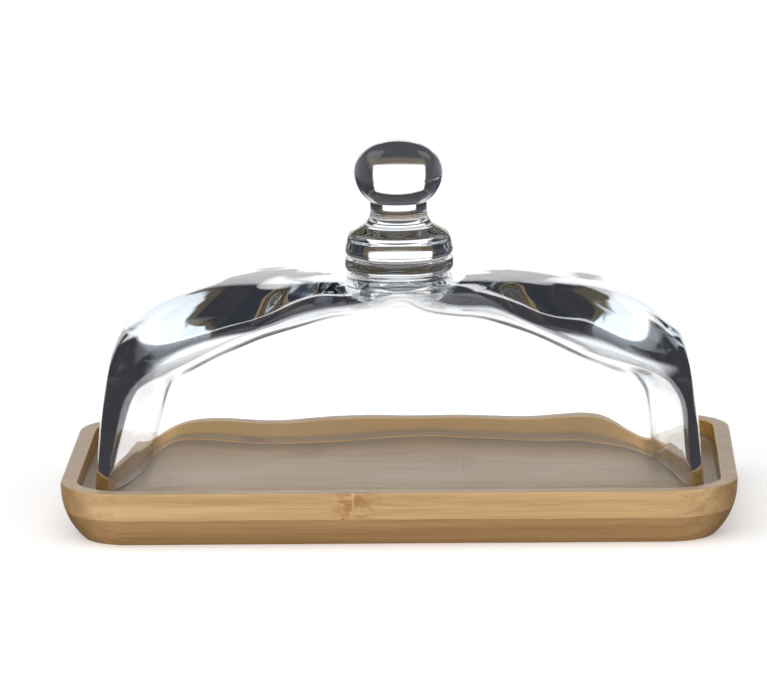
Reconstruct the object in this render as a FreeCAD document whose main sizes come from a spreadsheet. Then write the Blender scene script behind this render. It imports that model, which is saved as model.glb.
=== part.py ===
import FreeCAD, Part
import math
import os
import Sketcher

# Butter dish: a shallow bamboo tray glued up from strips, and a clear glass cover that stands in it
# and lifts straight off. Millimetres, +Z up, origin at the bottom centre of the tray, +X along the
# length. The tray is two plies of bamboo strips laid side by side, with the joints staggered. The
# cover is a cushion-shaped glass dome, a glass wafer that joins the knob to it, and a solid glass knob.

DRIVING_DIMENSIONS = [
    # tray
    ("tray_length", 210.0, "overall length"),
    ("tray_width", 121.4, "overall width"),
    ("tray_height", 17.5, "overall height"),
    ("tray_corner", 22.0, "corner radius of the outline"),
    ("tray_side_radius", 21.4, "radius of the rounded lower side"),
    ("tray_side_start", 16.0, "height where the rounded lower side begins"),
    ("rim_width", 5.2, "flat rim around the recess"),
    ("rim_break", 0.6, "rounding of the rim's two edges"),
    ("recess_depth", 6.0, "rim down to the recess floor"),
    ("recess_corner", 16.8, "corner radius of the recess"),
    ("recess_cove", 1.5, "rounding at the foot of the recess wall"),
    ("ply_height", 8.75, "thickness of one bamboo ply"),
    ("strip_width", 24.0, "width of one bamboo strip"),
    # dome
    ("dome_length", 190.4, "length over the foot"),
    ("dome_width", 101.0, "width over the foot"),
    ("dome_corner", 19.0, "corner radius at the foot"),
    ("dome_crown", 76.0, "height of the roof's crown"),
    ("wall_thickness", 4.0, "thickness of the walls at the foot, away from the corners"),
    ("roof_thickness", 5.0, "thickness at the crown"),
    ("inside_corner", 20.0, "corner radius of the inside at its foot; the glass is thicker there"),
    ("inside_arch", 390.0, "radius of the arch along the length that the roof of the inside follows"),
    ("end_lean", 0.06, "how far the end walls lean in at the crown, as a share of the half length"),
    ("side_lean", 0.07, "how far the side walls lean in at the crown, as a share of the half width"),
    ("shoulder_rise", 6.5, "power of the height in the outside's shoulder curve; larger is squarer"),
    ("inside_rise", 7.5, "the same power for the inside"),
    ("shoulder_reach", 4.0, "root taken in the shoulder curve; larger is squarer"),
    ("corner_growth", 3.1, "power with which the plan corners open out towards the crown"),
    ("corner_share", 0.98, "corner radius at the crown, as a share of the half width there"),
    # glass joint between dome and knob
    ("seat_height", 76.2, "height of the flat seat on the roof"),
    ("seat_radius", 15.2, "radius of the flat seat"),
    ("seat_flare", 2.5, "how far the seat spreads into the roof"),
    ("seat_depth", 2.4, "seat's top down to its hidden lower edge inside the roof"),
    ("joint_ring_radius", 17.2, "widest part of the joint ring"),
    ("joint_ring_height", 4.4, "height of the joint ring"),
    ("joint_ring_round", 2.0, "rounding of its rim"),
    # knob
    ("collar_radius", 17.35, "widest part of the collar"),
    ("collar_undercut", 0.65, "how much narrower the collar's foot is"),
    ("collar_foot_height", 1.4, "height of the undercut foot"),
    ("collar_side_height", 6.2, "height of the leaning side above it"),
    ("collar_top_radius", 16.1, "top of the leaning side"),
    ("collar_slope_height", 4.0, "slope from the side in to the neck"),
    ("collar_shoulder", 2.4, "rounding above the leaning side"),
    ("neck_radius", 9.1, "narrowest part of the neck"),
    ("neck_round", 4.0, "hollow curve between slope and neck"),
    ("neck_blend", 3.0, "rounding where the neck meets the ball"),
    ("ball_radius", 14.07, "widest part of the ball"),
    ("ball_centre", 27.2, "foot of the knob up to the ball's widest part"),
    ("ball_upper", 9.9, "ball's widest part up to the top"),
    ("ball_lower", 12.7, "half height of the ball's lower half"),
]

UPPER_STRIPS = 6
LOWER_STRIPS = 5
STRIP_MARGIN = 10.0
START, END = 1, 2
ORIGIN_POINT = (-1, 1)
# Heights of the dome's sections, from foot to crown, as shares of its height. They crowd together
# where the shoulder turns.
DOME_LEVELS = (0.0, 0.3, 0.55, 0.72, 0.83, 0.9, 0.945, 0.975, 0.992)
# What sets the dome's two surfaces apart: the dimensions each one uses.
OUTSIDE = {"wall": None, "roof": None, "corner": "dome_corner", "rise": "shoulder_rise"}
INSIDE = {
    "wall": "wall_thickness", "roof": "roof_thickness", "corner": "inside_corner", "rise": "inside_rise",
}
QUARTER_TURN = 90
TOLERANCE = 1e-4
SMALLEST_CUT = 1.0

doc = FreeCAD.newDocument("ButterDish")
sheet = doc.addObject("Spreadsheet::Sheet", "dims")
size = {}


def fill_sheet():
    for row, (name, value, note) in enumerate(DRIVING_DIMENSIONS, start=1):
        sheet.set("A%d" % row, name.replace("_", " "))
        sheet.set("B%d" % row, str(value))
        sheet.set("C%d" % row, note)
        sheet.setAlias("B%d" % row, name)
        size[name] = value
    doc.recompute()


def bind(thing, **expressions):
    for prop, expression in expressions.items():
        thing.setExpression(prop, expression)


def origin_plane(body, role):
    for feature in body.Origin.OriginFeatures:
        if feature.Role == role:
            return feature
    raise ValueError(role)


def new_sketch(body, name, role, height=None):
    sketch = body.newObject("Sketcher::SketchObject", name)
    sketch.AttachmentSupport = [(origin_plane(body, role), "")]
    sketch.MapMode = "FlatFace"
    if height:
        sketch.setExpression("AttachmentOffset.Base.z", height)
    return sketch


def drive(sketch, name, expression, *constraint):
    """Add a dimension to a sketch and bind it to the sheet."""
    index = sketch.addConstraint(Sketcher.Constraint(*constraint))
    sketch.renameConstraint(index, name)
    sketch.setExpression("Constraints." + name, expression)


def rounded_rectangle(sketch, length, width, corner):
    """A centred rectangle with round corners. Each size is a pair: its value and its expression."""
    x = length[0] / 2
    y = width[0] / 2
    r = corner[0]
    lines = [
        ((-x + r, -y, 0), (x - r, -y, 0)),
        ((x, -y + r, 0), (x, y - r, 0)),
        ((x - r, y, 0), (-x + r, y, 0)),
        ((-x, y - r, 0), (-x, -y + r, 0)),
    ]
    centres = [(x - r, -y + r, 0), (x - r, y - r, 0), (-x + r, y - r, 0), (-x + r, -y + r, 0)]
    for start, end in lines:
        sketch.addGeometry(Part.LineSegment(FreeCAD.Vector(*start), FreeCAD.Vector(*end)))
    for turn, centre in enumerate(centres):
        circle = Part.Circle(FreeCAD.Vector(*centre), FreeCAD.Vector(0, 0, 1), r)
        begin = (turn - 1) * math.pi / 2
        sketch.addGeometry(Part.ArcOfCircle(circle, begin, begin + math.pi / 2))
    for side in range(4):
        arc = side + 4
        following = (side + 1) % 4
        sketch.addConstraint(Sketcher.Constraint("Tangent", side, END, arc, START))
        sketch.addConstraint(Sketcher.Constraint("Tangent", arc, END, following, START))
        sketch.addConstraint(Sketcher.Constraint("Vertical" if side % 2 else "Horizontal", side))
    for arc in (5, 6, 7):
        sketch.addConstraint(Sketcher.Constraint("Equal", 4, arc))
    sketch.addConstraint(Sketcher.Constraint("Symmetric", 0, START, 2, START, *ORIGIN_POINT))
    drive(sketch, "length", length[1], "DistanceX", 3, START, 1, START, length[0])
    drive(sketch, "width", width[1], "DistanceY", 0, START, 2, START, width[0])
    drive(sketch, "corner", corner[1], "Radius", 4, corner[0])


def edges_where(feature, test):
    """Names of a feature's edges that pass a test, as a fillet wants them."""
    return ["Edge%d" % number for number, edge in enumerate(feature.Shape.Edges, start=1) if test(edge)]


def flat_at(height):
    """Test for edges that lie wholly at one height."""
    def test(edge):
        box = edge.BoundBox
        return abs(box.ZMin - height) < TOLERANCE and abs(box.ZMax - height) < TOLERANCE
    return test


def body_fillet(body, name, base, edges, radius):
    fillet = body.newObject("PartDesign::Fillet", name)
    fillet.Base = (base, edges)
    fillet.setExpression("Radius", radius)
    doc.recompute()
    return fillet


def make_tray_blank():
    """The whole tray in one piece, before it is divided into strips. It starts below the table so that
    the rounding of its lower side ends in a slight corner at the flat underside."""
    body = doc.addObject("PartDesign::Body", "tray_blank")
    start = size["tray_side_start"] - size["tray_side_radius"]
    outline = new_sketch(body, "tray_outline", "XY_Plane", "dims.tray_side_start - dims.tray_side_radius")
    rounded_rectangle(
        outline,
        (size["tray_length"], "dims.tray_length"),
        (size["tray_width"], "dims.tray_width"),
        (size["tray_corner"], "dims.tray_corner"),
    )
    slab = body.newObject("PartDesign::Pad", "tray_slab")
    slab.Profile = outline
    bind(slab, Length="dims.tray_height - dims.tray_side_start + dims.tray_side_radius")
    doc.recompute()
    rounded = body_fillet(
        body, "tray_side", slab, edges_where(slab, flat_at(start)), "dims.tray_side_radius"
    )

    recess_outline = new_sketch(body, "recess_outline", "XY_Plane", "dims.tray_height")
    rounded_rectangle(
        recess_outline,
        (size["tray_length"] - 2 * size["rim_width"], "dims.tray_length - 2 * dims.rim_width"),
        (size["tray_width"] - 2 * size["rim_width"], "dims.tray_width - 2 * dims.rim_width"),
        (size["recess_corner"], "dims.recess_corner"),
    )
    recess = body.newObject("PartDesign::Pocket", "recess")
    recess.Profile = recess_outline
    bind(recess, Length="dims.recess_depth")
    doc.recompute()
    if recess.Shape.Volume > rounded.Shape.Volume - SMALLEST_CUT:
        raise RuntimeError("the recess cuts nothing")

    floor = size["tray_height"] - size["recess_depth"]
    cove = body_fillet(body, "recess_cove", recess, edges_where(recess, flat_at(floor)), "dims.recess_cove")
    rim_edges = edges_where(cove, flat_at(size["tray_height"]))
    body_fillet(body, "rim_edges", cove, rim_edges, "dims.rim_break")
    return body


def make_strip(blank, label, column, columns, bottom):
    """One strip of a ply: the part of the tray inside a long upright box. The outer strips of a ply
    reach past the tray's sides."""
    middle = (columns - 1) / 2
    low = "(%g) * dims.strip_width" % (column - middle - 0.5)
    width = "dims.strip_width"
    if column == 0:
        low = "-dims.tray_width / 2 - %g" % STRIP_MARGIN
        width = "dims.tray_width / 2 + %g - %g * dims.strip_width" % (STRIP_MARGIN, middle - 0.5)
    if column == columns - 1:
        width = "dims.tray_width / 2 + %g - %g * dims.strip_width" % (STRIP_MARGIN, middle - 0.5)
    stock = doc.addObject("Part::Box", label + "_stock")
    bind(
        stock,
        Length="dims.tray_length + %g" % (2 * STRIP_MARGIN),
        Width=width,
        Height="dims.ply_height",
    )
    stock.setExpression("Placement.Base.x", "-dims.tray_length / 2 - %g" % STRIP_MARGIN)
    stock.setExpression("Placement.Base.y", low)
    stock.setExpression("Placement.Base.z", bottom)
    strip = doc.addObject("Part::Common", label)
    strip.Base = blank
    strip.Tool = stock
    return strip


def make_tray():
    blank = make_tray_blank()
    strips = []
    for column in range(UPPER_STRIPS):
        label = "tray_upper_strip_%d" % (column + 1)
        strips.append(make_strip(blank, label, column, UPPER_STRIPS, "dims.ply_height"))
    for column in range(LOWER_STRIPS):
        label = "tray_lower_strip_%d" % (column + 1)
        strips.append(make_strip(blank, label, column, LOWER_STRIPS, "0"))
    return strips


def taken_off(thickness):
    """Value and expression of what a surface lies inside the outer one by. The outer one has none."""
    if thickness is None:
        return 0.0, "0"
    return size[thickness], "dims." + thickness


def dome_section(body, name, level, surface):
    """One level cross-section of the dome's outside or inside."""
    wall, wall_words = taken_off(surface["wall"])
    roof_words = taken_off(surface["roof"])[1]
    foot_corner = size[surface["corner"]]
    turn = (1 - level ** size[surface["rise"]]) ** (1 / size["shoulder_reach"])
    opening = level ** size["corner_growth"]
    half_length = (size["dome_length"] / 2 - wall) * (turn - size["end_lean"] * level)
    half_width = (size["dome_width"] / 2 - wall) * (turn - size["side_lean"] * level)
    corner = foot_corner + (size["corner_share"] * half_width - foot_corner) * opening

    floor_words = "(dims.tray_height - dims.recess_depth)"
    turn_words = "1"
    opening_words = "0"
    if level:
        turn_words = "(1 - %g ^ dims.%s) ^ (1 / dims.shoulder_reach)" % (level, surface["rise"])
        opening_words = "%g ^ dims.corner_growth" % level
    length_words = "(dims.dome_length - 2 * %s) * (%s - dims.end_lean * %g)" % (wall_words, turn_words, level)
    width_words = "(dims.dome_width - 2 * %s) * (%s - dims.side_lean * %g)" % (wall_words, turn_words, level)
    foot_words = "dims." + surface["corner"]
    corner_words = "%s + (dims.corner_share / 2 * %s - %s) * %s" % (
        foot_words, width_words, foot_words, opening_words,
    )
    height_words = "%s + %g * (dims.dome_crown - %s - %s)" % (floor_words, level, roof_words, floor_words)

    sketch = new_sketch(body, name, "XY_Plane", height_words)
    rounded_rectangle(
        sketch, (2 * half_length, length_words), (2 * half_width, width_words), (corner, corner_words)
    )
    return sketch


def make_dome_block(name, surface):
    """The dome as a solid cushion, lofted through its level sections."""
    body = doc.addObject("PartDesign::Body", name)
    sections = [
        dome_section(body, "%s_level_%d" % (name, number), level, surface)
        for number, level in enumerate(DOME_LEVELS)
    ]
    doc.recompute()
    loft = body.newObject("PartDesign::AdditiveLoft", name + "_loft")
    loft.Profile = sections[0]
    loft.Sections = sections[1:]
    doc.recompute()
    return body


def make_cavity():
    """The space inside the dome: a cushion under an arch that runs along the length."""
    arch = doc.addObject("Part::Cylinder", "cavity_arch")
    bind(arch, Radius="dims.inside_arch", Height="dims.dome_width")
    arch.Placement.Rotation = FreeCAD.Rotation(FreeCAD.Vector(1, 0, 0), QUARTER_TURN)
    arch.setExpression("Placement.Base.y", "dims.dome_width / 2")
    arch.setExpression("Placement.Base.z", "dims.dome_crown - dims.roof_thickness - dims.inside_arch")
    cavity = doc.addObject("Part::Common", "dome_cavity")
    cavity.Base = make_dome_block("dome_inside", INSIDE)
    cavity.Tool = arch
    return cavity


def make_seat():
    """A low cone on the roof whose flat top carries the joint ring."""
    seat = doc.addObject("Part::Cone", "knob_seat")
    bind(
        seat,
        Radius1="dims.seat_radius + dims.seat_flare",
        Radius2="dims.seat_radius",
        Height="dims.seat_depth",
    )
    seat.setExpression("Placement.Base.z", "dims.seat_height - dims.seat_depth")
    return seat


def make_dome():
    block = doc.addObject("Part::Fuse", "dome_block")
    block.Base = make_dome_block("dome_outside", OUTSIDE)
    block.Tool = make_seat()
    dome = doc.addObject("Part::Cut", "glass_dome")
    dome.Base = block
    dome.Tool = make_cavity()
    return dome


def make_ring(label, below):
    """A glass wafer with a round rim. below is the height of its underside."""
    disc = doc.addObject("Part::Cylinder", label + "_disc")
    bind(disc, Radius="dims.%s_radius" % label, Height="dims.%s_height" % label)
    disc.setExpression("Placement.Base.z", below)
    doc.recompute()
    ring = doc.addObject("Part::Fillet", "glass_" + label)
    ring.Base = disc
    round_edges = [
        number for number, edge in enumerate(disc.Shape.Edges, start=1)
        if isinstance(edge.Curve, Part.Circle)
    ]
    radius = size[label + "_round"]
    ring.Edges = [(number, radius, radius) for number in round_edges]
    return ring


def make_knob():
    """A solid knob, stacked up from its foot: an undercut foot, a leaning side, a sloping shoulder, a
    neck, and a ball whose lower half is deeper than its upper half."""
    foot = "dims.seat_height + dims.joint_ring_height"
    stack = [
        # label, lower radius, upper radius, height, underside above the knob's foot
        ("collar_foot", "dims.collar_radius - dims.collar_undercut", "dims.collar_radius",
         "dims.collar_foot_height", "0"),
        ("collar_side", "dims.collar_radius", "dims.collar_top_radius",
         "dims.collar_side_height", "dims.collar_foot_height"),
        ("collar_slope", "dims.collar_top_radius", "dims.neck_radius",
         "dims.collar_slope_height", "dims.collar_foot_height + dims.collar_side_height"),
    ]
    pieces = []
    for label, lower, upper, tall, above in stack:
        cone = doc.addObject("Part::Cone", label)
        bind(cone, Radius1=lower, Radius2=upper, Height=tall)
        cone.setExpression("Placement.Base.z", "%s + %s" % (foot, above))
        pieces.append(cone)
    neck = doc.addObject("Part::Cylinder", "neck")
    bind(neck, Radius="dims.neck_radius", Height="dims.ball_centre")
    neck.setExpression("Placement.Base.z", foot)
    pieces.append(neck)
    for label, half_height, low_angle, high_angle in (
        ("ball_lower_half", "dims.ball_lower", -90, 0),
        ("ball_upper_half", "dims.ball_upper", 0, 90),
    ):
        half = doc.addObject("Part::Ellipsoid", label)
        half.Angle1 = low_angle
        half.Angle2 = high_angle
        bind(half, Radius1=half_height, Radius2="dims.ball_radius", Radius3="dims.ball_radius")
        half.setExpression("Placement.Base.z", foot + " + dims.ball_centre")
        pieces.append(half)
    stacked = doc.addObject("Part::MultiFuse", "knob_stack")
    stacked.Shapes = pieces
    stacked.Refine = True
    doc.recompute()

    foot_height = size["seat_height"] + size["joint_ring_height"]
    shoulder = foot_height + size["collar_foot_height"] + size["collar_side_height"]
    hollow = shoulder + size["collar_slope_height"]
    ball_middle = foot_height + size["ball_centre"]
    knob = doc.addObject("Part::Fillet", "glass_knob")
    knob.Base = stacked
    rounds = []
    for number, edge in enumerate(stacked.Shape.Edges, start=1):
        height = edge.BoundBox.ZMin
        level = abs(edge.BoundBox.ZMax - height) < TOLERANCE and edge.BoundBox.XLength > 1.0
        if not level:
            continue
        if abs(height - shoulder) < TOLERANCE:
            rounds.append((number, size["collar_shoulder"], size["collar_shoulder"]))
        elif abs(height - hollow) < TOLERANCE:
            rounds.append((number, size["neck_round"], size["neck_round"]))
        elif hollow < height < ball_middle - TOLERANCE:
            rounds.append((number, size["neck_blend"], size["neck_blend"]))
    knob.Edges = rounds
    return knob


def check_document():
    """Stop before anything is written if any object failed or is not a sound solid."""
    for thing in doc.Objects:
        if "Invalid" in thing.State or "Error" in thing.State:
            raise RuntimeError(thing.Label + " did not recompute")


def export(nodes):
    os.makedirs("parts", exist_ok=True)
    for node in nodes:
        shape = node.Shape
        if shape.isNull() or not shape.isValid() or len(shape.Solids) != 1:
            raise RuntimeError(node.Label + " is not one valid solid")
    for node in nodes:
        node.Shape.exportStep("parts/%s.step" % node.Label)
        box = node.Shape.BoundBox
        print(
            "%-22s volume %9.1f  x %7.2f %7.2f  y %7.2f %7.2f  z %7.2f %7.2f" % (
                node.Label, node.Shape.Volume, box.XMin, box.XMax, box.YMin, box.YMax, box.ZMin, box.ZMax,
            )
        )


def main():
    fill_sheet()
    nodes = make_tray()
    nodes.append(make_dome())
    nodes.append(make_ring("joint_ring", "dims.seat_height"))
    nodes.append(make_knob())
    doc.recompute()
    check_document()
    export(nodes)


main()
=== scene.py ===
import math

import bpy
import numpy as np
from mathutils import Matrix, Vector, noise


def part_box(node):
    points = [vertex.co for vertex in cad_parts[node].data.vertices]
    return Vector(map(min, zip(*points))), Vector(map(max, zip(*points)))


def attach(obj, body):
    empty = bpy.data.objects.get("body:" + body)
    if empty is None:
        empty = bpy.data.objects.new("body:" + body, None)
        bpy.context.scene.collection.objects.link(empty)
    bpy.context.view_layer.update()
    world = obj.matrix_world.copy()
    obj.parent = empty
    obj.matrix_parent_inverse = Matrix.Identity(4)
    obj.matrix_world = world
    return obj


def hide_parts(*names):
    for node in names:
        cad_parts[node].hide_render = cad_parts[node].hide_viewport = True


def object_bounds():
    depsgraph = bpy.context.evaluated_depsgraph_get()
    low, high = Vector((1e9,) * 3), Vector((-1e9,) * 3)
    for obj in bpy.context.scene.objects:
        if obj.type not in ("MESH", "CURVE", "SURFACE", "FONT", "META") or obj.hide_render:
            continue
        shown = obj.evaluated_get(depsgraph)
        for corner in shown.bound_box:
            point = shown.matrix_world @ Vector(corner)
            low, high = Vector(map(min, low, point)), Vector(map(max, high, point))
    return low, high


# Butter dish: a bamboo tray and a clear glass cover with a ball knob. The tray's strips are the CAD
# nodes with a bamboo material. The three glass nodes are shown as one fused piece of glass, because
# light that crosses a join inside the glass would show it. Metres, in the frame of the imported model.

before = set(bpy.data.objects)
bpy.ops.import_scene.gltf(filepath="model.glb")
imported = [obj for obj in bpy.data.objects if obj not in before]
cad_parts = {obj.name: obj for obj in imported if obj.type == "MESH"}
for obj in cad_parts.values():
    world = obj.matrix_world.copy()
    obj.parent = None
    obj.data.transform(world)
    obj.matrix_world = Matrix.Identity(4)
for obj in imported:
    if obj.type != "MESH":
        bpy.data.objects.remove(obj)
cad_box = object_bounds()

MM = 0.001

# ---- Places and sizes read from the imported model, in millimetres -------------------------------------
dome_low, dome_high = (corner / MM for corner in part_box("glass_dome"))
knob_low, knob_high = (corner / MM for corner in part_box("glass_knob"))

FLOOR_HEIGHT = dome_low.z
HALF_LENGTH = (dome_high.x - dome_low.x) / 2
HALF_WIDTH = (dome_high.y - dome_low.y) / 2
KNOB_FOOT = knob_low.z
KNOB_TOP = knob_high.z

# ---- Shape of the dome, in millimetres ---------------------------------------------------------------
CROWN = 76.0
WALL = 4.0
ROOF = 5.0
OUTER_CORNER = 19.0
INNER_CORNER = 20.0
END_LEAN = 0.06
SIDE_LEAN = 0.07
OUTER_RISE = 6.5
INNER_RISE = 7.5
INNER_ARCH = 390.0
SHOULDER_REACH = 4.0
CORNER_GROWTH = 3.1
CORNER_SHARE = 0.98
SMALLEST_SHARE = 1e-3
FOOT_CLEARANCE = 0.12
FOOT_ROUND = 1.3
FOOT_SQUARENESS = 0.6

# Stations round each level of the cover: along a side wall, along an end wall and round a corner.
SIDE_STATIONS = 88
END_STATIONS = 40
CORNER_STATIONS = 32

# How finely the surfaces are divided. The roof begins where the walls have drawn in to ROOF_SCALE.
RING_SPACING = 1.1
ROOF_SCALE = 0.46
CROWN_HOLE = 0.6
FOOT_STEPS = 15
FOOT_OVERLAP = 0.2
PROFILE_SAMPLES = 4000
HALVINGS = 40
EASING_ROUNDS = 14


class Shell:
    """One surface of the dome: the outside, or the inside, which is smaller by the thickness. The
    roof of the inside is arched along the length, so the glass is thicker towards the ends."""

    def __init__(self, wall, roof, foot_corner, shoulder_rise, arch):
        self.half_length = HALF_LENGTH - wall
        self.half_width = HALF_WIDTH - wall
        self.foot_corner = foot_corner
        self.rise = CROWN - roof - FLOOR_HEIGHT
        self.shoulder_rise = shoulder_rise
        self.arch = arch

    def outline(self, level):
        """Half length, half width and corner radius of the section at a share of the height."""
        turn = (1 - level**self.shoulder_rise) ** (1 / SHOULDER_REACH)
        length = self.half_length * np.maximum(turn - END_LEAN * level, SMALLEST_SHARE)
        width = self.half_width * np.maximum(turn - SIDE_LEAN * level, SMALLEST_SHARE)
        open_corner = CORNER_SHARE * width
        corner = self.foot_corner + (open_corner - self.foot_corner) * level**CORNER_GROWTH
        return length, width, np.minimum(corner, width)

    def height(self, level, x=0.0):
        """Height at a share of the rise, which an arched roof lowers away from the middle."""
        drop = x**2 / (2 * self.arch) if self.arch else 0.0
        return FLOOR_HEIGHT + (self.rise - drop) * level

    def roof_height(self, x, y):
        """Height of the surface over points well inside the walls, by halving the level."""
        low = np.zeros_like(x)
        high = np.ones_like(x)
        for _ in range(HALVINGS):
            middle = (low + high) / 2
            length, width, corner = self.outline(middle)
            past_x = np.abs(x) - (length - corner)
            past_y = np.abs(y) - (width - corner)
            outside = np.hypot(np.maximum(past_x, 0), np.maximum(past_y, 0)) > corner
            outside |= (past_x > corner) | (past_y > corner)
            high = np.where(outside, middle, high)
            low = np.where(outside, low, middle)
        return self.height((low + high) / 2, x)


def level_points(length, width, corner):
    """Points round one level, anticlockwise from the middle of the +X end."""
    side = np.linspace(1, -1, SIDE_STATIONS, endpoint=False)
    end = np.linspace(1, -1, END_STATIONS, endpoint=False)
    turn = np.linspace(0, math.pi / 2, CORNER_STATIONS, endpoint=False)
    flat_x = length - corner
    flat_y = width - corner
    half = END_STATIONS // 2
    pieces = [
        np.stack([np.full(half, length), -end[half:] * flat_y]),
        np.stack([flat_x + corner * np.cos(turn), flat_y + corner * np.sin(turn)]),
        np.stack([side * flat_x, np.full(SIDE_STATIONS, width)]),
        np.stack([-flat_x - corner * np.sin(turn), flat_y + corner * np.cos(turn)]),
        np.stack([np.full(END_STATIONS, -length), end * flat_y]),
        np.stack([-flat_x - corner * np.cos(turn), -flat_y - corner * np.sin(turn)]),
        np.stack([-side * flat_x, np.full(SIDE_STATIONS, -width)]),
        np.stack([flat_x + corner * np.sin(turn), -flat_y - corner * np.cos(turn)]),
        np.stack([np.full(half, length), -end[:half] * flat_y]),
    ]
    return np.concatenate(pieces, axis=1).T


def eased(points):
    """Points round a closed line, averaged with their neighbours so that straight runs into curves."""
    for _ in range(EASING_ROUNDS):
        points = (np.roll(points, 1, axis=0) + 2 * points + np.roll(points, -1, axis=0)) / 4
    return points


def wall_levels(shell):
    """Levels from the foot up to where the roof begins, evenly spaced along the wall's profile."""
    turn = np.cos(np.linspace(0, math.pi / 2, PROFILE_SAMPLES)) ** 0.5
    level = np.clip(1 - turn**SHOULDER_REACH, 0, 1) ** (1 / shell.shoulder_rise)
    across = shell.half_length * (turn - END_LEAN * level)
    up = shell.rise * level
    reach = np.concatenate([[0], np.cumsum(np.hypot(np.diff(across), np.diff(up)))])
    last = np.argmax(turn < ROOF_SCALE)
    count = int(reach[last] / RING_SPACING)
    return np.interp(np.linspace(0, reach[last], count), reach, level)


def wall_rings(shell):
    """Rings of points (x, y, z) up the wall, from above the rounded foot to the roof's edge."""
    foot_top = FLOOR_HEIGHT + FOOT_CLEARANCE + FOOT_ROUND + FOOT_OVERLAP
    rings = []
    for level in wall_levels(shell):
        flat = eased(level_points(*shell.outline(level)))
        heights = np.broadcast_to(shell.height(level, flat[:, 0]), len(flat))
        if heights[0] > foot_top:
            rings.append(np.column_stack([flat, heights]))
    return rings


def roof_rings(shell, edge, inner_radius):
    """Rings from the roof's edge in to a circle, each point at the surface's own height."""
    heading = np.arctan2(edge[:, 1], edge[:, 0])
    circle = inner_radius * np.column_stack([np.cos(heading), np.sin(heading)])
    count = int(np.hypot(*(edge[:, :2] - circle).T).max() / RING_SPACING)
    rings = []
    for share in np.linspace(0, 1, count + 1)[1:]:
        flat = edge[:, :2] * (1 - share) + circle * share
        rings.append(np.column_stack([flat, shell.roof_height(flat[:, 0], flat[:, 1])]))
    return rings


def foot_rings(outer, inner):
    """The rounded underside of the wall, between the first rings of the outside and the inside."""
    rings = []
    bottom = FLOOR_HEIGHT + FOOT_CLEARANCE
    middle = (outer + inner) / 2
    half = (outer - inner) / 2
    for angle in np.radians(np.linspace(0, 180, FOOT_STEPS)):
        across = np.sign(np.cos(angle)) * abs(np.cos(angle)) ** FOOT_SQUARENESS
        ring = middle + half * across
        ring[:, 2] = bottom + FOOT_ROUND * (1 - np.sin(angle) ** FOOT_SQUARENESS)
        rings.append(ring)
    return rings


# ---- Shape of the knob and the joint ring: corners as (radius, height above the knob's foot, rounding)
COLLAR_CORNERS = (
    (9.0, 18.0, 0.0),
    (9.0, 11.4, 5.5),
    (16.0, 7.6, 2.6),
    (17.35, 1.6, 1.5),
    (15.1, 0.0, 0.5),
)
RING_CORNERS = (
    (17.2, -0.1, 1.9),
    (17.2, -4.3, 1.9),
    (15.0, -4.4, 0.5),
)
BALL_RADIUS = 14.07
BALL_CENTRE = 27.2
BALL_LOWER = 12.7
BALL_SAMPLES = 120
NECK_ANGLE = -50.0
SEAT_REACH = 21.0
ARC_STEP = 0.2
PROFILE_STEP = 0.3
MELTING_ROUNDS = 5


def rounded_path(corners):
    """A line of (r, z) points through corners, each turned by an arc of its own radius."""
    path = [np.array(corners[0][:2], float)]
    for before, here, after in zip(corners, corners[1:], corners[2:]):
        a, p, b = (np.array(c[:2], float) for c in (before, here, after))
        radius = here[2]
        back = (a - p) / np.linalg.norm(a - p)
        on = (b - p) / np.linalg.norm(b - p)
        half = math.acos(np.clip(back @ on, -1, 1)) / 2
        reach = radius / math.tan(half)
        centre = p + (back + on) / np.linalg.norm(back + on) * radius / math.sin(half)
        first = p + back * reach - centre
        last = p + on * reach - centre
        turn = math.pi - 2 * half
        count = max(2, int(radius * turn / ARC_STEP))
        for share in np.linspace(0, 1, count + 1):
            spoke = first * math.sin((1 - share) * turn) + last * math.sin(share * turn)
            path.append(centre + spoke / math.sin(turn))
    path.append(np.array(corners[-1][:2], float))
    return np.array(path)


def resampled(path):
    """The same line with evenly spaced points."""
    reach = np.concatenate([[0], np.cumsum(np.linalg.norm(np.diff(path, axis=0), axis=1))])
    count = int(reach[-1] / PROFILE_STEP)
    at = np.linspace(0, reach[-1], count + 1)
    return np.column_stack([np.interp(at, reach, path[:, k]) for k in (0, 1)])


def melted(path):
    """The line with its corners softened a little, as fused glass is. Its two ends stay."""
    for _ in range(MELTING_ROUNDS):
        path[1:-1] = (path[:-2] + 2 * path[1:-1] + path[2:]) / 4
    return path


def ball_profile():
    upper = KNOB_TOP - KNOB_FOOT - BALL_CENTRE
    angles = np.radians(np.linspace(90, NECK_ANGLE, BALL_SAMPLES))
    height = np.where(angles > 0, upper, BALL_LOWER) * np.sin(angles)
    return np.column_stack([BALL_RADIUS * np.cos(angles), BALL_CENTRE + height])


def knob_profile(roof):
    """The cover's outside on its axis, from the top of the ball down to the roof around the joint."""
    path = np.concatenate([ball_profile(), rounded_path(COLLAR_CORNERS), rounded_path(RING_CORNERS)])
    path[:, 1] += KNOB_FOOT
    edge_height = roof.roof_height(np.array([SEAT_REACH]), np.array([0.0]))[0]
    path = np.concatenate([path, [[SEAT_REACH, edge_height]]])
    return melted(resampled(path))


def revolved(path, heading):
    """Rings round the axis, one for each (r, z) point."""
    return [
        np.column_stack([r * np.cos(heading), r * np.sin(heading), np.full(len(heading), z)])
        for r, z in path
    ]


# ---- The cover's mesh --------------------------------------------------------------------------------


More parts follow.
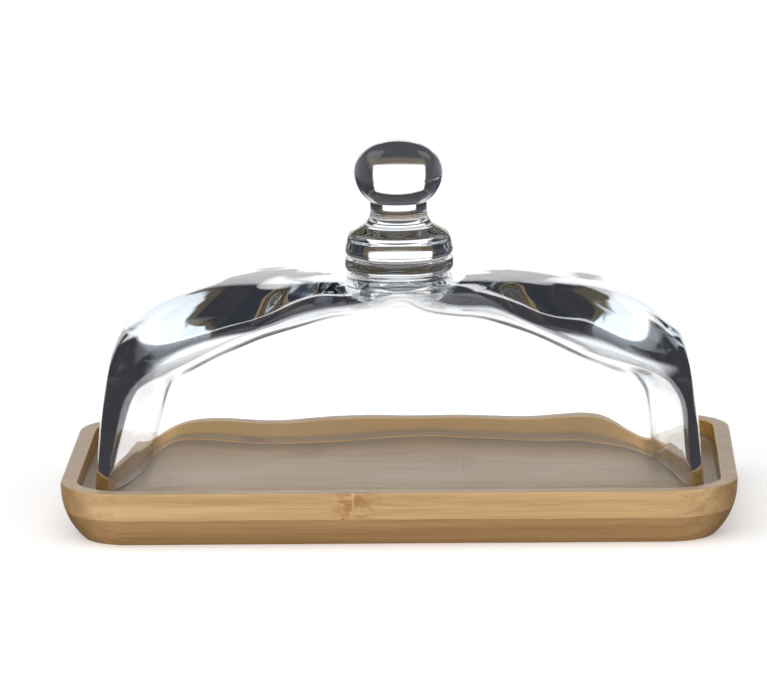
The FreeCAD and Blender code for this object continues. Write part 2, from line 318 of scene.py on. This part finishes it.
def cover_rings(outside, inside):
    """Rings of stations from below the ball's top, down the outside, round the foot and up the inside."""
    outer_walls = wall_rings(outside)
    inner_walls = wall_rings(inside)
    outer_roof = roof_rings(outside, outer_walls[-1], SEAT_REACH)
    inner_roof = roof_rings(inside, inner_walls[-1], CROWN_HOLE)
    heading = np.arctan2(outer_walls[-1][:, 1], outer_walls[-1][:, 0])
    knob = revolved(knob_profile(outside)[1:-1], heading)
    foot = foot_rings(outer_walls[0], inner_walls[0])
    return knob + outer_roof[::-1] + outer_walls[::-1] + foot + inner_walls + inner_roof


def cover_faces(ring_count, stations):
    """Squares between the rings, and fans that close them to the top and the crown of the inside."""
    faces = []
    for ring in range(ring_count - 1):
        here = ring * stations
        below = here + stations
        for k in range(stations):
            following = (k + 1) % stations
            faces.append((here + k, below + k, below + following, here + following))
    top = ring_count * stations
    crown = top + 1
    last = top - stations
    for k in range(stations):
        following = (k + 1) % stations
        faces.append((top, k, following))
        faces.append((crown, last + following, last + k))
    return faces


def cover_mesh():
    outside = Shell(0.0, 0.0, OUTER_CORNER, OUTER_RISE, 0.0)
    inside = Shell(WALL, ROOF, INNER_CORNER, INNER_RISE, INNER_ARCH)
    rings = cover_rings(outside, inside)
    tips = [[0, 0, KNOB_TOP], [0, 0, inside.height(1.0)]]
    points = np.concatenate(rings + [tips]) * MM
    mesh = bpy.data.meshes.new("glass_cover")
    mesh.from_pydata(points.tolist(), [], cover_faces(len(rings), len(rings[0])))
    mesh.polygons.foreach_set("use_smooth", [True] * len(mesh.polygons))
    mesh.update()
    return mesh


# ---- Waves in the glass, in millimetres --------------------------------------------------------------
OUTER_WAVE = 0.05
INNER_WAVE = 0.16
WAVE_LENGTH = 19.0
WAVE_START = 3.0
WAVE_FADE = 8.0
OUTER_WAVE_PLACE = Vector((0, 0, 0))
INNER_WAVE_PLACE = Vector((31, 17, 5))


def wave_glass(mesh):
    """Push the dome's surfaces along their normals by low waves, as pressed glass has. The outside and
    the inside have waves of their own. The foot and the knob stay as they are."""
    count = len(mesh.vertices)
    points = np.zeros(count * 3, np.float32)
    normals = np.zeros(count * 3, np.float32)
    mesh.vertices.foreach_get("co", points)
    mesh.vertices.foreach_get("normal", normals)
    points = points.reshape(-1, 3) / MM
    normals = normals.reshape(-1, 3)
    axis_distance = np.hypot(points[:, 0], points[:, 1])
    centre = np.array([0, 0, FLOOR_HEIGHT])
    outward = np.einsum("ij,ij->i", points - centre, normals) > 0
    above_foot = np.clip((points[:, 2] - FLOOR_HEIGHT - WAVE_START) / WAVE_FADE, 0, 1)
    knob_free = np.clip((axis_distance - SEAT_REACH) / WAVE_FADE, 0, 1)
    share = above_foot * np.where(outward, knob_free, 1.0)
    for k in range(count):
        if share[k] == 0:
            continue
        offset = OUTER_WAVE_PLACE if outward[k] else INNER_WAVE_PLACE
        size = OUTER_WAVE if outward[k] else INNER_WAVE
        place = Vector(points[k]) / WAVE_LENGTH + offset
        points[k] += normals[k] * size * share[k] * noise.noise(place) * 2
    mesh.vertices.foreach_set("co", (points * MM).ravel())
    mesh.update()


# ---- Node helpers ------------------------------------------------------------------------------------


def new_material(name):
    material = bpy.data.materials.new(name)
    material.use_nodes = True
    material.node_tree.nodes.clear()
    return material, material.node_tree


def add(tree, kind, inputs=(), **settings):
    """A node with its settings, and its inputs set to a number or linked to a socket."""
    node = tree.nodes.new(kind)
    for name, value in settings.items():
        setattr(node, name, value)
    for name, value in dict(inputs).items():
        socket = node.inputs[name]
        if isinstance(value, bpy.types.NodeSocket):
            tree.links.new(value, socket)
        else:
            socket.default_value = value
    return node


def maths(tree, operation, *values):
    return add(tree, "ShaderNodeMath", enumerate(values), operation=operation).outputs[0]


def vector_maths(tree, operation, first, second):
    return add(tree, "ShaderNodeVectorMath", {0: first, 1: second}, operation=operation).outputs[0]


def scaled(tree, vector, factor):
    return add(tree, "ShaderNodeVectorMath", {0: vector, 3: factor}, operation="SCALE").outputs[0]


def dot_product(tree, first, second):
    node = add(tree, "ShaderNodeVectorMath", {0: first, 1: second}, operation="DOT_PRODUCT")
    return node.outputs["Value"]


def separated(tree, vector):
    return add(tree, "ShaderNodeSeparateXYZ", {0: vector}).outputs


def smooth_step(tree, value, low, high, to_low=0.0, to_high=1.0):
    node = add(tree, "ShaderNodeMapRange", {
        "Value": value, "From Min": low, "From Max": high, "To Min": to_low, "To Max": to_high,
    }, interpolation_type="SMOOTHSTEP")
    return node.outputs[0]


def smooth_drop(tree, value, low, high):
    """One below the low value, falling to nothing above the high one."""
    return smooth_step(tree, value, low, high, 1.0, 0.0)


def product(tree, first, *others):
    for other in others:
        first = maths(tree, "MULTIPLY", first, other)
    return first


def blend_colour(tree, factor, first, second, mode="MIX"):
    sockets = {0: factor, 6: first, 7: second}
    return add(tree, "ShaderNodeMix", sockets, data_type="RGBA", blend_type=mode).outputs[2]


def noise_node(tree, place, scale, detail, roughness=0.5):
    return add(tree, "ShaderNodeTexNoise", {
        "Vector": place, "Scale": scale, "Detail": detail, "Roughness": roughness,
    })


def noise_value(tree, place, scale=1.0, detail=2.0, roughness=0.5):
    return noise_node(tree, place, scale, detail, roughness).outputs[0]


def noise_push(tree, place, size):
    """Noise as a push in every direction, about zero."""
    colour = noise_node(tree, place, 1.0, 1.0).outputs["Color"]
    return scaled(tree, vector_maths(tree, "SUBTRACT", colour, (0.5, 0.5, 0.5)), size)


def about_zero(tree, value, size):
    return maths(tree, "MULTIPLY", maths(tree, "SUBTRACT", value, 0.5), size)


# ---- Glass -------------------------------------------------------------------------------------------
GLASS_INDEX = 1.5
GLASS_TINT = (0.30, 0.52, 0.72, 1)
GLASS_TINT_DENSITY = 5.0


def glass_material():
    material, tree = new_material("clear glass")
    shader = add(tree, "ShaderNodeBsdfPrincipled", {
        "Base Color": (1, 1, 1, 1),
        "Roughness": 0.0,
        "IOR": GLASS_INDEX,
        "Transmission Weight": 1.0,
    })
    body = add(tree, "ShaderNodeVolumeAbsorption", {
        "Color": GLASS_TINT,
        "Density": GLASS_TINT_DENSITY,
    })
    add(tree, "ShaderNodeOutputMaterial", {"Surface": shader.outputs[0], "Volume": body.outputs[0]})
    return material


def make_cover():
    mesh = cover_mesh()
    wave_glass(mesh)
    cover = bpy.data.objects.new("glass_cover", mesh)
    bpy.context.scene.collection.objects.link(cover)
    mesh.materials.append(glass_material())
    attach(cover, "cover")
    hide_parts("glass_dome", "glass_joint_ring", "glass_knob")


# ---- Bamboo: the tray's sizes in millimetres ---------------------------------------------------------
PLY_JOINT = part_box("tray_lower_strip_1")[1].z / MM
TRAY_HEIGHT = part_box("tray_upper_strip_3")[1].z / MM
TRAY_HALF_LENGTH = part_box("tray_upper_strip_3")[1].x / MM
TRAY_HALF_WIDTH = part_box("tray_upper_strip_6")[1].y / MM
TRAY_EDGE = 8.0
RIM_WIDTH = 5.2
RECESS_CORNER = 16.8
RECESS_HALF_WIDTH = TRAY_HALF_WIDTH - RIM_WIDTH
RECESS_HALF_LENGTH = TRAY_HALF_LENGTH - RIM_WIDTH

# Painted shade: the slightly darker band round the floor of the recess starts this far from the tray's
# middle.
BAND_HALF_WIDTH = 38.0
BAND_HALF_LENGTH = 86.0
BAND_WANDER = 9.0

STRAW = (0.66, 0.45, 0.22, 1)
HONEY = (0.54, 0.34, 0.15, 1)
TOAST = (0.40, 0.22, 0.085, 1)
BURNT = (0.20, 0.095, 0.035, 1)
RIDGE = (0.68, 0.50, 0.27, 1)
AMBER = (0.36, 0.165, 0.045, 1)
# Painted shade in a band round the recess floor.
SHADE_OLIVE = (0.16, 0.105, 0.045, 1)
# Painted light on the walls of the recess.
WALL_LIGHT_GOLD = (0.98, 0.60, 0.18, 1)
# Painted sheen and shade on the rim's top and the recess floor.
SHEEN_TAUPE = (0.40, 0.34, 0.30, 1)
# Painted shade on the lower ply.
LOWER_PLY_SHADE = (0.68, 0.64, 0.58, 1)
# End grain, darker partly in itself and partly as painted shade.
END_GRAIN_AND_SHADE_TONE = (0.62, 0.57, 0.50, 1)

# How strongly each colour is laid over what is under it.
BUNDLE_SHARE = 0.55
AMBER_SHARE = 0.9
RIDGE_SHARE = 0.45
FLOOR_SHADE_SHARE = 0.28
WALL_LIGHT_SHARE = 0.85
SHEEN_SHARE = 0.4

# Growth ring of the stem, in millimetres: how far it bends the fibres, and the edge of its pale ridge.
RING_REACH = 12.0
RING_WOBBLE = 5.0
RIDGE_EDGE = (0.15, 0.55)
FIBRE_CURL = 9.0
FIBRE_DRIFT = 5.0

# Fibres are textures stretched along X, to this share of their frequency across it.
FIBRE_STRETCH = 0.014
BUNDLE_SCALE = 1.05
BUNDLE_EDGE = (0.16, 0.42)
FINE_SCALE = 2.6
TONE_SCALE = 0.28
TONE_SWING = 1.5
FINE_SWING = 0.9

# Finish of the wood.
RELIEF_DEPTH = 0.06
RELIEF_STRENGTH = 0.35
DULL_RANGE = (0.32, 0.46)
COAT_WEIGHT = 0.12
COAT_ROUGHNESS = 0.28

# Each strip: a seed for its figure, its tone from straw (0) to toast (1), and the places of its growth
# rings along the tray, in millimetres.
STRIPS = {
    "tray_upper_strip_1": {"seed": 3.1, "tone": 0.42, "rings": (-14.0,)},
    "tray_upper_strip_2": {"seed": 11.7, "tone": 0.55, "rings": (61.0,)},
    "tray_upper_strip_3": {"seed": 23.9, "tone": 0.38, "rings": (-72.0,)},
    "tray_upper_strip_4": {"seed": 37.3, "tone": 0.50, "rings": (18.0,)},
    "tray_upper_strip_5": {"seed": 41.8, "tone": 0.35, "rings": (-31.0,)},
    "tray_upper_strip_6": {"seed": 59.2, "tone": 0.45, "rings": (-48.0, 84.0)},
    "tray_lower_strip_1": {"seed": 67.4, "tone": 0.50, "rings": ()},
    "tray_lower_strip_2": {"seed": 71.6, "tone": 0.40, "rings": (-55.0,)},
    "tray_lower_strip_3": {"seed": 83.5, "tone": 0.58, "rings": (22.0,)},
    "tray_lower_strip_4": {"seed": 97.1, "tone": 0.36, "rings": (-80.0,)},
    "tray_lower_strip_5": {"seed": 103.3, "tone": 0.48, "rings": (40.0,)},
}


def growth_rings(tree, place, shifted, rings):
    """How near each point is to a growth ring, and the narrow ridge along the ring itself."""
    grain = vector_maths(tree, "MULTIPLY", shifted, (0.02, 0.16, 0.16))
    wobble = about_zero(tree, noise_value(tree, grain), RING_WOBBLE)
    swirl = 0.0
    ridge = 0.0
    for ring in rings:
        offset = maths(tree, "ADD", maths(tree, "SUBTRACT", place[0], ring), wobble)
        away = maths(tree, "ABSOLUTE", offset)
        swirl = maths(tree, "MAXIMUM", swirl, smooth_drop(tree, away, 0.0, RING_REACH))
        ridge = maths(tree, "MAXIMUM", ridge, smooth_drop(tree, away, *RIDGE_EDGE))
    return swirl, ridge


def fibre_place(tree, shifted, swirl):
    """Coordinates that follow the fibres: stretched along X, drifting, and curled near a ring."""
    curl_grain = vector_maths(tree, "MULTIPLY", shifted, (0.16, 0.11, 0.11))
    drift_grain = vector_maths(tree, "MULTIPLY", shifted, (0.008, 0.05, 0.05))
    curl = noise_push(tree, curl_grain, maths(tree, "MULTIPLY", swirl, FIBRE_CURL))
    drift = noise_push(tree, drift_grain, FIBRE_DRIFT)
    pushed = vector_maths(tree, "ADD", vector_maths(tree, "ADD", shifted, curl), drift)
    return vector_maths(tree, "MULTIPLY", pushed, (FIBRE_STRETCH, 1.0, 1.0))


def fibre_colour(tree, along, fine, bundle, tone):
    """Broad bands of tone, fine fibres over them, and darker fibre bundles here and there."""
    bands = about_zero(tree, noise_value(tree, along, TONE_SCALE), TONE_SWING)
    depth = maths(tree, "ADD", maths(tree, "ADD", bands, tone), about_zero(tree, fine, FINE_SWING))
    ramp = add(tree, "ShaderNodeValToRGB", {"Fac": depth})
    ramp.color_ramp.elements[0].color = STRAW
    ramp.color_ramp.elements[1].color = TOAST
    ramp.color_ramp.elements.new(0.5).color = HONEY
    present = smooth_step(tree, noise_value(tree, along, 0.45, 1.0), 0.35, 0.7)
    return blend_colour(tree, product(tree, bundle, present, BUNDLE_SHARE), ramp.outputs[0], TOAST)


def ring_colour(tree, colour, along, swirl, ridge):
    """Amber patches on the flanks of a growth ring, and its pale ridge."""
    grain = vector_maths(tree, "MULTIPLY", along, (6.0, 0.5, 0.5))
    patches = smooth_step(tree, noise_value(tree, grain, detail=3.0), 0.34, 0.62)
    flank = maths(tree, "POWER", swirl, 1.6)
    colour = blend_colour(tree, product(tree, flank, patches, AMBER_SHARE), colour, AMBER)
    return blend_colour(tree, maths(tree, "MULTIPLY", ridge, RIDGE_SHARE), colour, RIDGE)


def beyond(tree, coordinate, limit):
    """How far a coordinate is past a limit, on either side of the middle."""
    return maths(tree, "SUBTRACT", maths(tree, "ABSOLUTE", coordinate), limit)


def recess_distance(tree, place):
    """Distance outside the rounded outline of the recess, in millimetres, and negative inside it."""
    past_end = beyond(tree, place[0], RECESS_HALF_LENGTH - RECESS_CORNER)
    past_side = beyond(tree, place[1], RECESS_HALF_WIDTH - RECESS_CORNER)
    past = add(tree, "ShaderNodeCombineXYZ", {
        0: maths(tree, "MAXIMUM", past_end, 0.0),
        1: maths(tree, "MAXIMUM", past_side, 0.0),
    }).outputs[0]
    length = add(tree, "ShaderNodeVectorMath", {0: past}, operation="LENGTH").outputs["Value"]
    return maths(tree, "SUBTRACT", length, RECESS_CORNER)


def floor_shade_band(tree, place, shifted):
    """The part of the recess floor near its walls that painted shade darkens, with a wandering inner
    edge.
    """
    grain = vector_maths(tree, "MULTIPLY", shifted, (0.035, 0.0, 0.0))
    wander = about_zero(tree, noise_value(tree, grain), BAND_WANDER)
    past_side = beyond(tree, place[1], BAND_HALF_WIDTH)
    past_end = beyond(tree, place[0], BAND_HALF_LENGTH)
    near = maths(tree, "ADD", maths(tree, "MAXIMUM", past_side, past_end), wander)
    low = smooth_drop(tree, place[2], FLOOR_HEIGHT + 1.2, FLOOR_HEIGHT + 2.2)
    return product(tree, low, smooth_step(tree, near, -2.0, 3.0))


def surface_colour(tree, colour, place, shifted):
    """Colour by place on the tray, with light and shade painted in: painted light makes the recess walls
    golden, painted sheen and shade grey the rim and floor, painted shade darkens the lower ply and a band
    round the recess floor, and end grain is darker, partly in itself and partly as painted shade."""
    height = place[2]
    outside = recess_distance(tree, place)
    within = smooth_drop(tree, outside, 0.3, 0.8)
    upper_ply = smooth_step(tree, height, PLY_JOINT + 0.5, PLY_JOINT + 1.0)

    # Painted light: the walls of the recess are made golden, standing in for more light falling on them.
    above_floor = smooth_step(tree, height, FLOOR_HEIGHT + 0.8, FLOOR_HEIGHT + 1.6)
    wall = product(tree, smooth_step(tree, outside, -1.0, -0.3), within, above_floor)
    colour = blend_colour(tree, maths(tree, "MULTIPLY", wall, WALL_LIGHT_SHARE), colour, WALL_LIGHT_GOLD)

    # Painted sheen and shade: the rim's top and the recess floor are mixed towards grey, standing in for
    # the pale sheen they catch at a low angle and the weaker light from above.
    rim = smooth_step(tree, height, TRAY_HEIGHT - 0.25, TRAY_HEIGHT - 0.05)
    floor = smooth_drop(tree, height, FLOOR_HEIGHT + 0.05, FLOOR_HEIGHT + 0.5)
    painted_sheen = maths(tree, "MAXIMUM", rim, product(tree, floor, upper_ply, within))
    colour = blend_colour(tree, maths(tree, "MULTIPLY", painted_sheen, SHEEN_SHARE), colour, SHEEN_TAUPE)

    # Painted shade: the lower ply is darkened, as the lower part of the tray gets less light.
    lower_ply_shade = smooth_drop(tree, height, PLY_JOINT - 0.3, PLY_JOINT)
    colour = blend_colour(tree, lower_ply_shade, colour, LOWER_PLY_SHADE, "MULTIPLY")

    # The ends of the tray are darker, partly as end grain is and partly as painted shade on ends turned
    # away from the front light.
    normal = separated(tree, tree.nodes.new("ShaderNodeNewGeometry").outputs["Normal"])
    end_grain_and_shade = smooth_step(tree, maths(tree, "ABSOLUTE", normal[0]), 0.30, 0.95)
    colour = blend_colour(tree, end_grain_and_shade, colour, END_GRAIN_AND_SHADE_TONE, "MULTIPLY")

    # Painted shade: a darker band round the recess floor, near where the cover's foot stands.
    band = product(tree, floor_shade_band(tree, place, shifted), upper_ply, within)
    return blend_colour(tree, maths(tree, "MULTIPLY", band, FLOOR_SHADE_SHARE), colour, SHADE_OLIVE)


def glue_lines(tree, place, shifted, joints):
    """Thin dark lines where this strip meets its neighbours, stronger in some places than others."""
    gap = maths(tree, "ABSOLUTE", maths(tree, "SUBTRACT", place[2], PLY_JOINT))
    glue = smooth_drop(tree, gap, 0.04, 0.22)
    for joint in joints:
        gap = maths(tree, "ABSOLUTE", maths(tree, "SUBTRACT", place[1], joint))
        glue = maths(tree, "MAXIMUM", glue, smooth_step(tree, gap, 0.03, 0.16, 0.8, 0.0))
    patchy = noise_value(tree, vector_maths(tree, "MULTIPLY", shifted, (0.05, 0.05, 0.05)))
    return maths(tree, "MULTIPLY", glue, smooth_step(tree, patchy, 0.38, 0.62, 0.15, 0.75))


def wood_relief(tree, fine, bundle, glue):
    height = maths(tree, "ADD", fine, maths(tree, "MULTIPLY", bundle, -0.35))
    height = maths(tree, "SUBTRACT", height, maths(tree, "MULTIPLY", glue, 0.8))
    bump = add(tree, "ShaderNodeBump", {
        "Height": height, "Strength": RELIEF_STRENGTH, "Distance": RELIEF_DEPTH * MM,
    })
    return bump.outputs[0]


def strip_material(name, seed, tone, rings, joints):
    """Bamboo with its fibres along X. Where a surface runs along the fibres they show as streaks, and
    where it cuts across them as dots, because every texture here is solid and stretched along X."""
    material, tree = new_material("bamboo " + name.replace("tray_", "").replace("_", " "))
    metres = tree.nodes.new("ShaderNodeTexCoord").outputs["Object"]
    millimetres = vector_maths(tree, "MULTIPLY", metres, (1 / MM, 1 / MM, 1 / MM))
    place = separated(tree, millimetres)
    shifted = vector_maths(tree, "ADD", millimetres, (seed * 7.0, seed * 13.0, seed * 3.0))

    swirl, ridge = growth_rings(tree, place, shifted, rings)
    along = fibre_place(tree, shifted, swirl)
    cells = add(tree, "ShaderNodeTexVoronoi", {"Vector": along, "Scale": BUNDLE_SCALE})
    bundle = smooth_drop(tree, cells.outputs["Distance"], *BUNDLE_EDGE)
    fine = noise_value(tree, along, FINE_SCALE, 3.0, 0.6)
    glue = glue_lines(tree, place, shifted, joints)

    colour = fibre_colour(tree, along, fine, bundle, tone)
    colour = ring_colour(tree, colour, along, swirl, ridge)
    colour = surface_colour(tree, colour, place, shifted)
    colour = blend_colour(tree, glue, colour, BURNT)
    shader = add(tree, "ShaderNodeBsdfPrincipled", {
        "Base Color": colour,
        "Roughness": smooth_step(tree, fine, 0.2, 0.8, *DULL_RANGE),
        "IOR": 1.5,
        "Coat Weight": COAT_WEIGHT,
        "Coat Roughness": COAT_ROUGHNESS,
        "Normal": wood_relief(tree, fine, bundle, glue),
    })
    add(tree, "ShaderNodeOutputMaterial", {"Surface": shader.outputs[0]})
    return material


def dress_tray():
    for name, strip in STRIPS.items():
        sides = (corner.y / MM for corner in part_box(name))
        joints = [side for side in sides if abs(side) < TRAY_HALF_WIDTH - TRAY_EDGE]
        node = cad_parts[name]
        node.data.materials.clear()
        node.data.materials.append(strip_material(name, joints=joints, **strip))


# ---- Camera: metres, degrees, and the lens in millimetres --------------------------------------------
CAMERA_TARGET = Vector((0, 0, 0.050))
CAMERA_DISTANCE = 1.8155
CAMERA_ELEVATION = 10.768
CAMERA_AZIMUTH = 1.371
CAMERA_ROLL = -0.685
CAMERA_LENS = 270.0
CAMERA_SENSOR = 36.0
CAMERA_SHIFT = (-0.0218, 0.0033)


def make_camera():
    elevation = math.radians(CAMERA_ELEVATION)
    azimuth = math.radians(CAMERA_AZIMUTH)
    back = Vector((
        math.sin(azimuth) * math.cos(elevation),
        -math.cos(azimuth) * math.cos(elevation),
        math.sin(elevation),
    ))
    data = bpy.data.cameras.new("camera")
    data.sensor_fit = "HORIZONTAL"
    data.sensor_width = CAMERA_SENSOR
    data.lens = CAMERA_LENS
    data.shift_x, data.shift_y = CAMERA_SHIFT
    upright = (-back).to_track_quat("-Z", "Y").to_matrix()
    roll = Matrix.Rotation(math.radians(CAMERA_ROLL), 3, "Z")
    place = Matrix.Translation(CAMERA_TARGET + back * CAMERA_DISTANCE)
    camera = bpy.data.objects.new("camera", data)
    camera.matrix_world = place @ (upright @ roll).to_4x4()
    bpy.context.scene.collection.objects.link(camera)
    bpy.context.scene.camera = camera


# ---- Floor, and a sheet that can't be seen -----------------------------------------------------------
FLOOR_REACH = 20.0
FLOOR_WHITE = (0.98, 0.98, 0.98, 1)
FLOOR_GLOW = 0.25
MARKER_REACH = 0.6
MARKER_GAP = 0.003


def stage_sheet(name, reach, height, material):
    """A level square about the axis, which mirror reflections don't meet."""
    mesh = bpy.data.meshes.new(name)
    corners = [
        (-reach, -reach, height),
        (reach, -reach, height),
        (reach, reach, height),
        (-reach, reach, height),
    ]
    mesh.from_pydata(corners, [], [(0, 1, 2, 3)])
    mesh.materials.append(material)
    sheet = bpy.data.objects.new(name, mesh)
    bpy.context.scene.collection.objects.link(sheet)
    sheet.visible_glossy = False
    return sheet


def make_floor():
    material, tree = new_material("pale floor")
    matt = add(tree, "ShaderNodeBsdfDiffuse", {"Color": FLOOR_WHITE})
    glow = add(tree, "ShaderNodeEmission", {"Color": (1, 1, 1, 1), "Strength": FLOOR_GLOW})
    both = add(tree, "ShaderNodeAddShader", {0: matt.outputs[0], 1: glow.outputs[0]})
    add(tree, "ShaderNodeOutputMaterial", {"Surface": both.outputs[0]})
    floor = stage_sheet("floor", FLOOR_REACH, 0.0, material)
    floor.visible_transmission = False


def make_marker():
    """A clear sheet just above the cover at rest. It can't be seen: it only lets the world tell light
    that leaves a lifted cover downwards from light that leaves the cover at rest."""
    material, tree = new_material("clear marker")
    clear = tree.nodes.new("ShaderNodeBsdfTransparent")
    add(tree, "ShaderNodeOutputMaterial", {"Surface": clear.outputs[0]})
    marker = stage_sheet("marker_sheet", MARKER_REACH, cad_box[1].z + MARKER_GAP, material)
    marker.visible_camera = False
    marker.visible_diffuse = False
    marker.visible_shadow = False


# ---- World -------------------------------------------------------------------------------------------
# The studio round the dish, as the glass sees it: soft white panels on a dark room. Each panel is a
# rectangle on a plane one metre away in its heading (degrees from +Y towards +X): left and right edge,
# lower and upper edge, brightness, and the softness of its edges.
ROOM = (0.042, 0.042, 0.050, 1)
PANELS = (
    (0.0, -0.54, 0.42, -0.268, 0.30, 1.35, 0.03),
    (-56.0, -0.50, 0.42, 0.66, 1.90, 1.20, 0.10),
    (46.0, -0.22, 0.26, 0.62, 1.25, 1.00, 0.08),
    (112.0, -0.38, 0.38, 0.34, 1.20, 1.10, 0.10),
    (180.0, -1.30, 1.30, -0.10, 2.20, 1.10, 0.20),
    (-130.0, -0.45, 0.45, -1.20, -0.36, 0.90, 0.15),
)
NEAREST_DEPTH = 0.02
AHEAD = 0.03

# Brown edge of the table behind the dish, in the same terms as a panel.
TABLE = (0.0, -0.60, 0.55, -0.42, -0.20, 1.0, 0.04)
TABLE_BROWN = (0.155, 0.125, 0.080, 1)

# The pale floor, as the glass sees it, by how far the light goes down and back (+Y).
PALE = (1, 1, 1, 1)
STEEPLY_DOWN = (-0.36, -0.30)
DOWN = (-0.08, -0.03)
NOT_BACK = (0.25, 0.45)

# Light that wood and floor receive: even light from all round, and more of it from the front, above
# and a little to the left. Wood under the cover gets COVER_LIGHT times as much.
EVEN_LIGHT = 0.42
FRONT_LIGHT = 0.92
COVER_LIGHT = 1.5
LIGHT_FROM = (-0.22, -0.72, 0.66)
WHITE_ROOM = (1.05, 1.05, 1.05, 1)

# Light that has passed more surfaces of glass than the first number has crossed the dome's inside.
# More than the second, on wood, and it has come in through the cover and gone out again.
CROSSED_SURFACES = 2.5
COVER_SURFACES = 3.5


def panel_light(tree, direction, heading, left, right, low, high, light, edge):
    """Brightness of one panel in the direction looked at."""
    angle = math.radians(heading)
    forward = dot_product(tree, direction, (math.sin(angle), math.cos(angle), 0.0))
    aside = dot_product(tree, direction, (math.cos(angle), -math.sin(angle), 0.0))
    depth = maths(tree, "MAXIMUM", forward, NEAREST_DEPTH)
    across = maths(tree, "DIVIDE", aside, depth)
    height = maths(tree, "DIVIDE", separated(tree, direction)[2], depth)
    return product(
        tree,
        light,
        smooth_step(tree, across, left - edge, left + edge),
        smooth_drop(tree, across, right - edge, right + edge),
        smooth_step(tree, height, low - edge, low + edge),
        smooth_drop(tree, height, high - edge, high + edge),
        maths(tree, "GREATER_THAN", forward, AHEAD),
    )


def studio_light(tree, direction):
    """What the glass sees all round: the panels, the dark room and the edge of the table."""
    panels = 0.0
    for panel in PANELS:
        panels = maths(tree, "MAXIMUM", panels, panel_light(tree, direction, *panel))
    room = blend_colour(tree, panel_light(tree, direction, *TABLE), ROOM, TABLE_BROWN)
    studio = blend_colour(tree, maths(tree, "MINIMUM", panels, 1.0), room, (1, 1, 1, 1))
    return scaled(tree, studio, maths(tree, "MAXIMUM", panels, 1.0))


def floor_share(tree, direction, path):
    """Where light from the glass meets the pale floor. Light that has crossed the whole dome does so
    below the horizon, sooner if it goes to the sides or the front. So does light that leaves the
    lifted cover downwards, which the marker sheet has counted as a transparent crossing."""
    back, upward = separated(tree, direction)[1:3]
    crossed = maths(tree, "GREATER_THAN", path["Transmission Depth"], CROSSED_SURFACES)
    lifted = maths(tree, "GREATER_THAN", path["Transparent Depth"], 0.5)
    down = smooth_drop(tree, upward, *DOWN)
    to_the_side = maths(tree, "MULTIPLY", down, smooth_drop(tree, back, *NOT_BACK))
    below = maths(tree, "MAXIMUM", smooth_drop(tree, upward, *STEEPLY_DOWN), to_the_side)
    from_rest = maths(tree, "MULTIPLY", below, crossed)
    return maths(tree, "MAXIMUM", from_rest, maths(tree, "MULTIPLY", down, lifted))


def soft_light(tree, direction, path):
    """Light on wood and floor, mostly from the front, and more of it under the cover."""
    facing = dot_product(tree, direction, LIGHT_FROM)
    soft = maths(tree, "MAXIMUM", maths(tree, "MULTIPLY_ADD", facing, FRONT_LIGHT, EVEN_LIGHT), 0.0)
    under_cover = maths(tree, "GREATER_THAN", path["Transmission Depth"], COVER_SURFACES)
    return maths(tree, "MULTIPLY", soft, maths(tree, "MULTIPLY_ADD", under_cover, COVER_LIGHT - 1.0, 1.0))


def make_world():
    """What is seen depends on who looks: the glass sees the studio, wood and floor a soft light, and
    the camera a white room."""
    world = bpy.data.worlds.new("studio")
    bpy.context.scene.world = world
    world.use_nodes = True
    world.cycles.sampling_method = "NONE"
    tree = world.node_tree
    tree.nodes.clear()
    direction = tree.nodes.new("ShaderNodeTexCoord").outputs["Generated"]
    path = tree.nodes.new("ShaderNodeLightPath").outputs
    light = studio_light(tree, direction)
    light = blend_colour(tree, floor_share(tree, direction, path), light, PALE)
    on_wood = maths(tree, "GREATER_THAN", path["Diffuse Depth"], 0.5)
    light = blend_colour(tree, on_wood, light, soft_light(tree, direction, path))
    light = blend_colour(tree, path["Is Camera Ray"], light, WHITE_ROOM)
    background = add(tree, "ShaderNodeBackground", {"Color": light, "Strength": 1.0})
    add(tree, "ShaderNodeOutputWorld", {"Surface": background.outputs[0]})


# ---- Light in the glass turns back many times before it leaves, so it needs more bounces than usual.
MOST_BOUNCES = 32
GLASS_BOUNCES = 24


def set_light():
    scene = bpy.context.scene
    scene.view_settings.view_transform = "Standard"
    scene.cycles.max_bounces = MOST_BOUNCES
    scene.cycles.glossy_bounces = GLASS_BOUNCES
    scene.cycles.transmission_bounces = GLASS_BOUNCES


make_camera()
make_world()
make_floor()
make_marker()
dress_tray()
make_cover()
set_light()
